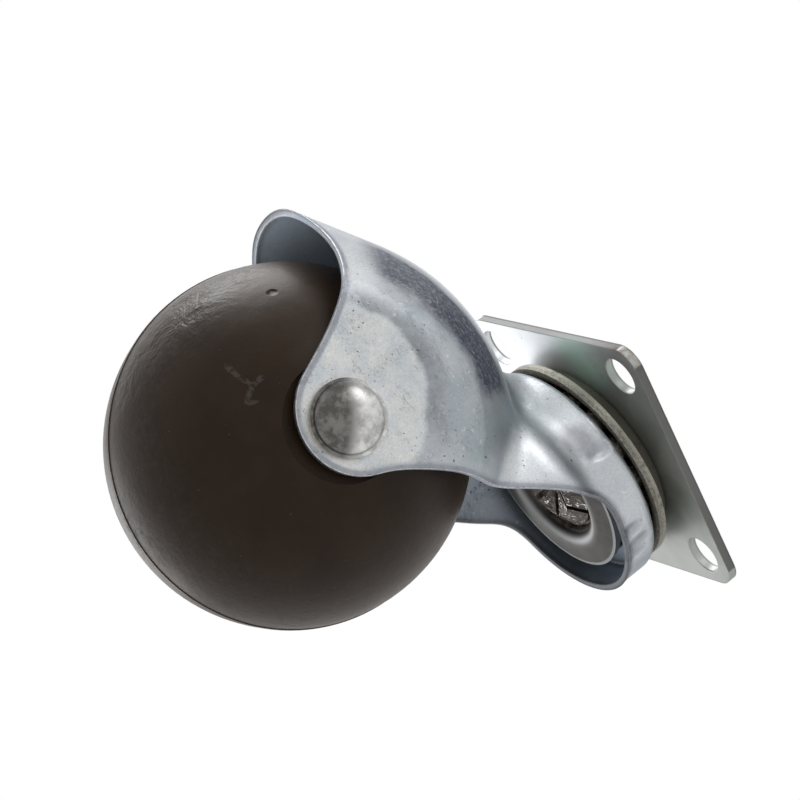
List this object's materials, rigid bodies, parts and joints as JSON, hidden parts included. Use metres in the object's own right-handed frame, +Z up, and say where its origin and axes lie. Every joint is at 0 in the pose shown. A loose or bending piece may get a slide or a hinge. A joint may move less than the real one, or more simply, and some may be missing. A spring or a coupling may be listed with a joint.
{
  "type": "furniture castor",
  "caption": "Plate-fitting swivel castor with a pressed steel hood and a rubber ball wheel on a riveted axle.",
  "frame": {"origin": "centre of the plate's upper face, on the swivel axis", "axes": "+Z up out of the plate into the furniture, X and Y along the plate's edges; at rest the ball trails at 20.4 degrees from +X towards -Y"},
  "size_m": [0.0719, 0.0571, 0.0641],
  "materials": {
    "plate_zinc": "zinc-plated, satin",
    "race_steel": "zinc-plated, sheared rim",
    "washer_steel": "plain pressed steel, satin",
    "pin_steel": "hardened steel with dried grease",
    "fork_zinc": "bright zinc-plated, satin",
    "rivet_steel": "zinc-plated, polished dome",
    "ball_rubber": "moulded rubber, satin",
    "sleeve_steel": "plain steel tube",
    "bearing_steel": "polished steel"
  },
  "bodies": {
    "mounting": {"top_plate": "plate_zinc", "upper_race": "race_steel", "kingpin": "pin_steel", "lower_race": "washer_steel"},
    "swivel_fork": {"fork": "fork_zinc", "axle_rivet": "rivet_steel"},
    "wheel": {"ball": "ball_rubber", "hub_sleeve": "sleeve_steel"},
    "upper_ball_ring": {"upper_ball_01": "bearing_steel", "upper_ball_02": "bearing_steel", "upper_ball_03": "bearing_steel", "upper_ball_04": "bearing_steel", "upper_ball_05": "bearing_steel", "upper_ball_06": "bearing_steel", "upper_ball_07": "bearing_steel", "upper_ball_08": "bearing_steel", "upper_ball_09": "bearing_steel", "upper_ball_10": "bearing_steel", "upper_ball_11": "bearing_steel", "upper_ball_12": "bearing_steel", "upper_ball_13": "bearing_steel", "upper_ball_14": "bearing_steel", "upper_ball_15": "bearing_steel", "upper_ball_16": "bearing_steel"},
    "lower_ball_ring": {"lower_ball_01": "bearing_steel", "lower_ball_02": "bearing_steel", "lower_ball_03": "bearing_steel", "lower_ball_04": "bearing_steel", "lower_ball_05": "bearing_steel", "lower_ball_06": "bearing_steel", "lower_ball_07": "bearing_steel", "lower_ball_08": "bearing_steel", "lower_ball_09": "bearing_steel", "lower_ball_10": "bearing_steel", "lower_ball_11": "bearing_steel", "lower_ball_12": "bearing_steel", "lower_ball_13": "bearing_steel", "lower_ball_14": "bearing_steel", "lower_ball_15": "bearing_steel", "lower_ball_16": "bearing_steel", "lower_ball_17": "bearing_steel", "lower_ball_18": "bearing_steel", "lower_ball_19": "bearing_steel", "lower_ball_20": "bearing_steel"}
  },
  "joints": [
    {"name": "swivel", "type": "hinge", "parent": "mounting", "child": "swivel_fork", "pos_m": [0, 0, -0.0067], "axis": [0, 0, 1], "continuous": true},
    {"name": "wheel_spin", "type": "hinge", "parent": "swivel_fork", "child": "wheel", "pos_m": [0.02493, -0.00927, -0.039], "axis": [0.3486, 0.9373, 0], "continuous": true},
    {"name": "upper_ring_roll", "type": "hinge", "parent": "mounting", "child": "upper_ball_ring", "pos_m": [0, 0, -0.0044], "axis": [0, 0, 1], "continuous": true},
    {"name": "lower_ring_roll", "type": "hinge", "parent": "mounting", "child": "lower_ball_ring", "pos_m": [0, 0, -0.0087], "axis": [0, 0, 1], "continuous": true}
  ],
  "couplings": [
    {"joint": "upper_ring_roll", "follows": "swivel", "ratio": 0.5},
    {"joint": "lower_ring_roll", "follows": "swivel", "ratio": 0.5}
  ]
}
